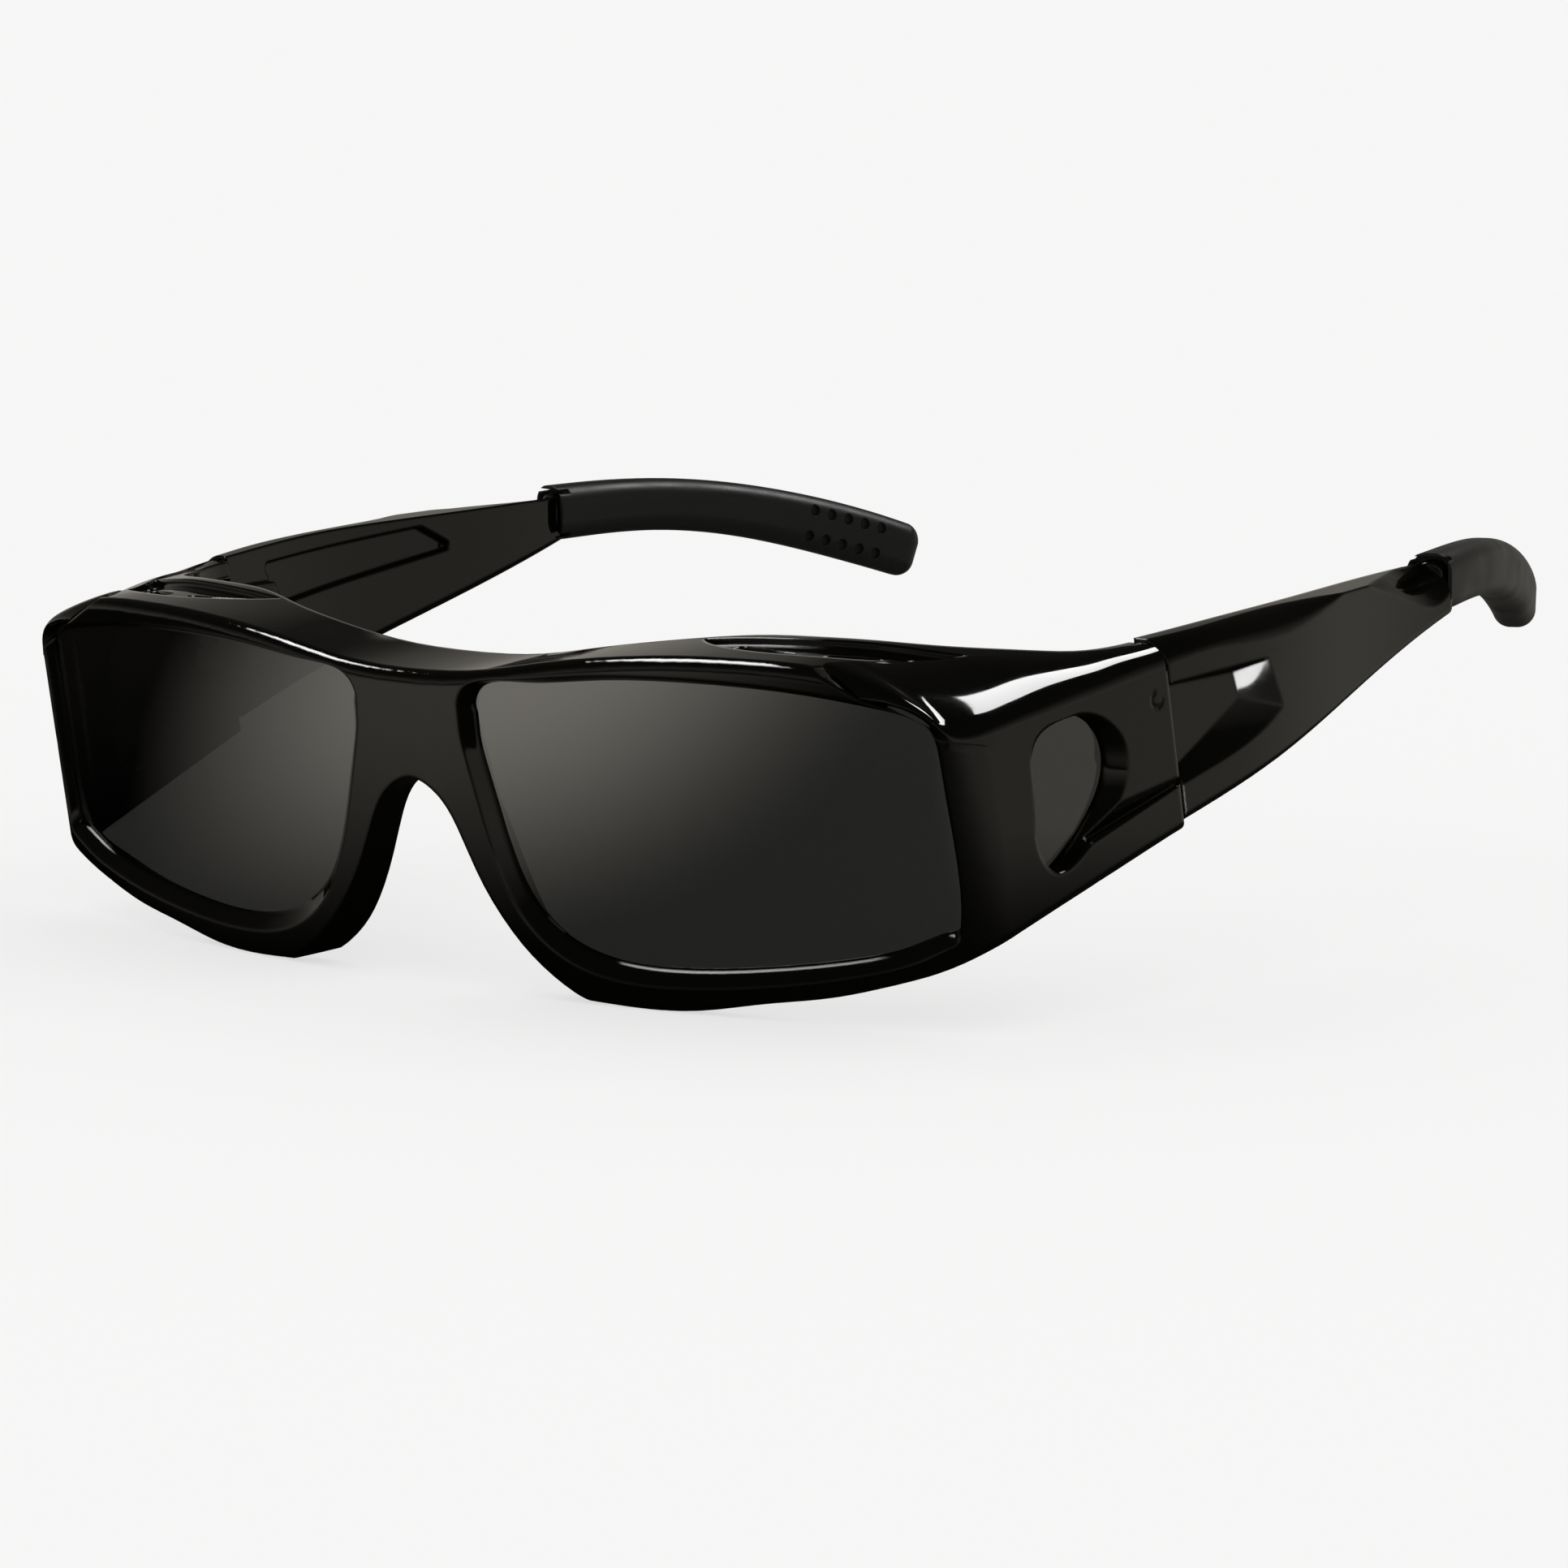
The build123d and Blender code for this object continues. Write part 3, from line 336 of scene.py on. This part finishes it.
def add_shoulder(side, hinge_place, looks):
    """Rounded skin over the flat slope of the front's shoulder on one side."""
    sections = shoulder_sections()
    points = []
    for section in sections:
        for point in section:
            place = hinge_place + (point - MOULD_HINGE) * MM
            points.append((SIDES[side] * place.x, place.y, place.z))
    faces = grid_faces(len(sections), len(sections[0]))
    if SIDES[side] < 0:
        faces = [face[::-1] for face in faces]
    name = "shoulder_skin_" + side
    mesh = bpy.data.meshes.new(name)
    mesh.from_pydata(points, [], faces)
    mesh.shade_smooth()
    mesh.materials.append(looks)
    skin = add_object(name, mesh)
    shell = skin.modifiers.new("shell", "SOLIDIFY")
    shell.thickness = SHOULDER_THICKNESS
    shell.offset = -1  # inwards
    skin.modifiers.new("sharp_border", "EDGE_SPLIT").split_angle = SHARP_ANGLE
    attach(skin, "front")
    return skin


def add_world():
    """Even pale surroundings for matt faces and the camera, and a sky that darkens upwards for gloss."""
    world = bpy.data.worlds.new("studio")
    bpy.context.scene.world = world
    world.use_nodes = True
    tree = world.node_tree
    tree.nodes.clear()
    path = node(tree, "ShaderNodeLightPath").outputs
    direction = node(tree, "ShaderNodeTexCoord").outputs["Generated"]
    height = node(tree, "ShaderNodeSeparateXYZ", {"Vector": direction}).outputs["Z"]
    sky = node(tree, "ShaderNodeValToRGB", {"Fac": height})
    elements = sky.color_ramp.elements
    while len(elements) < len(SKY_STOPS):
        elements.new(1.0)
    for element, (position, level) in zip(elements, SKY_STOPS):
        element.position = position
        element.color = (*(level * part for part in WARM), 1)
    lit = mix(tree, "ShaderNodeMixRGB", path["Is Glossy Ray"], AMBIENT_COLOUR, sky.outputs["Color"])
    seen = mix(tree, "ShaderNodeMixRGB", path["Is Camera Ray"], lit, BACKDROP_COLOUR)
    background = node(tree, "ShaderNodeBackground", {"Color": seen, "Strength": 1.0})
    node(tree, "ShaderNodeOutputWorld", {"Surface": background.outputs[0]})


def smooth(tree, value, start, end, low, high):
    """Smooth step of a value: low up to start, high from end on."""
    inputs = {"Value": value, "From Min": start, "From Max": end, "To Min": low, "To Max": high}
    return node(tree, "ShaderNodeMapRange", inputs, interpolation_type="SMOOTHSTEP").outputs["Result"]


def distance_from(tree, where, place):
    """How far a point lies from a place on the floor, seen from above."""
    flat = node(tree, "ShaderNodeVectorMath", {0: where, 1: (1, 1, 0)}, operation="MULTIPLY")
    ends = {0: flat.outputs["Vector"], 1: (*place, 0)}
    return node(tree, "ShaderNodeVectorMath", ends, operation="DISTANCE").outputs["Value"]


def painted_reflection_level(tree):
    """Painted reflection: brightness that gloss sees on the floor, with painted shade round the object, a
    painted pool of light ahead and pale ground behind.
    """
    where = node(tree, "ShaderNodeNewGeometry").outputs["Position"]
    # Painted shade in the reflection round the object
    ground = smooth(tree, distance_from(tree, where, (0, 0)), *SHADE_REACH, SHADE_LEVEL, GROUND_LEVEL)
    along = {0: where, 1: BACK_DIRECTION}
    back = node(tree, "ShaderNodeVectorMath", along, operation="DOT_PRODUCT").outputs["Value"]
    # Painted shade: the reflection is darker ahead and to the wearer's right
    ground = combine(tree, "MULTIPLY", ground, smooth(tree, back, *BACK_REACH, AHEAD_SHARE, 1.0))
    # Painted pool of light in the reflection
    pool = smooth(tree, distance_from(tree, where, POOL_PLACE), *POOL_REACH, POOL_LEVEL, 0.0)
    return combine(tree, "MAXIMUM", ground, pool)


def pale_floor():
    """Plain matt sheet, which the camera sees partly glowing, and in which gloss sees a painted reflection
    with a brightness of its own.
    """
    made, tree = material("pale_floor")
    path = node(tree, "ShaderNodeLightPath").outputs
    body = node(tree, "ShaderNodeBsdfDiffuse", {"Color": FLOOR_COLOUR}).outputs[0]
    glow = node(tree, "ShaderNodeEmission", {"Color": GLOW_COLOUR, "Strength": GLOW_STRENGTH}).outputs[0]
    glow_share = combine(tree, "MULTIPLY", path["Is Camera Ray"], GLOW_SHARE)
    seen = mix(tree, "ShaderNodeMixShader", glow_share, body, glow)
    level = painted_reflection_level(tree)
    # Painted reflection: for gloss the floor glows with a brightness set by place, not by how it is lit
    painted_reflection = node(tree, "ShaderNodeEmission", {"Color": (*WARM, 1), "Strength": level}).outputs[0]
    surface = mix(tree, "ShaderNodeMixShader", path["Is Glossy Ray"], seen, painted_reflection)
    node(tree, "ShaderNodeOutputMaterial", {"Surface": surface})
    return made


def add_floor():
    """Pale floor under the rims."""
    mesh = bpy.data.meshes.new("floor")
    half = FLOOR_SIZE / 2
    corners = [(-half, -half, 0), (half, -half, 0), (half, half, 0), (-half, half, 0)]
    mesh.from_pydata(corners, [], [(0, 1, 2, 3)])
    mesh.materials.append(pale_floor())
    floor = add_object("floor", mesh)
    floor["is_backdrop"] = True


def add_light(name, place, aim, width, height, radiance):
    """Rectangular light at a place, turned to face another, which neither matt faces nor the camera see."""
    data = bpy.data.lights.new(name, "AREA")
    data.shape = "RECTANGLE"
    data.size = width
    data.size_y = height
    data.energy = radiance * math.pi * width * height
    light = add_object(name, data)
    light.visible_diffuse = False
    light.visible_camera = False
    turn = (aim - place).to_track_quat("-Z", "Y").to_matrix().to_4x4()
    light.matrix_world = Matrix.Translation(place) @ turn
    return light


def add_softbox(name, aim, direction, distance, *face):
    """Light in a direction from what it is aimed at."""
    return add_light(name, aim + Vector(direction).normalized() * distance, aim, *face)


def light_only(light, pieces):
    """Keeps a light to the given pieces."""
    receivers = bpy.data.collections.new(light.name + "_receivers")
    for piece in pieces:
        receivers.objects.link(piece)
    light.light_linking.receiver_collection = receivers


def add_lights(nodes, shoulders, hinge_place):
    """Softboxes, of which the one behind leaves out the temples, and the glint's light for the left one."""
    low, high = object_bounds()
    aim = (low + high) / 2
    temples = [nodes["temple_" + side] for side in SIDES]
    others = [piece for piece in nodes.values() if piece not in temples]
    light_only(add_softbox("back_strip", aim, *BACK_STRIP), others + shoulders)
    add_softbox("overhead", aim, *OVERHEAD)
    glint_place, glint_aim = hinge_place + GLINT_FROM_HINGE, hinge_place + GLINT_AIM_FROM_HINGE
    light_only(add_light("panel_glint", glint_place, glint_aim, *GLINT_FACE), [nodes["temple_left"]])


def add_camera(reference):
    """Camera at the photograph's viewpoint."""
    sin_a, cos_a = math.sin(VIEW_AZIMUTH), math.cos(VIEW_AZIMUTH)
    sin_e, cos_e = math.sin(VIEW_ELEVATION), math.cos(VIEW_ELEVATION)
    back = Vector((sin_a * cos_e, -cos_a * cos_e, sin_e))
    right = Vector((cos_a, sin_a, 0))
    up = back.cross(right)
    data = bpy.data.cameras.new("camera")
    data.sensor_width, data.lens = SENSOR_WIDTH, LENS_LENGTH
    data.clip_start, data.clip_end = CLIP_NEAR, CLIP_FAR
    camera = add_object("camera", data)
    place = reference + right * VIEW_RIGHT + up * VIEW_UP + back * VIEW_DISTANCE
    camera.matrix_world = Matrix.Translation(place) @ Matrix((right, up, back)).transposed().to_4x4()
    bpy.context.scene.camera = camera


def main():
    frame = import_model()
    hinge = next(joint for joint in frame["joints"] if joint["name"] == "fold_left")
    hinge_place = Vector(hinge["pos_m"])
    dress_nodes(frame["nodes"])
    round_black = polished_black("polished_black_round", 0)
    shoulders = [add_shoulder(side, hinge_place, round_black) for side in SIDES]
    add_world()
    add_floor()
    add_lights(frame["nodes"], shoulders, hinge_place)
    add_camera(hinge_place + REFERENCE_FROM_HINGE)
    bpy.context.scene.view_settings.view_transform = "Standard"


main()
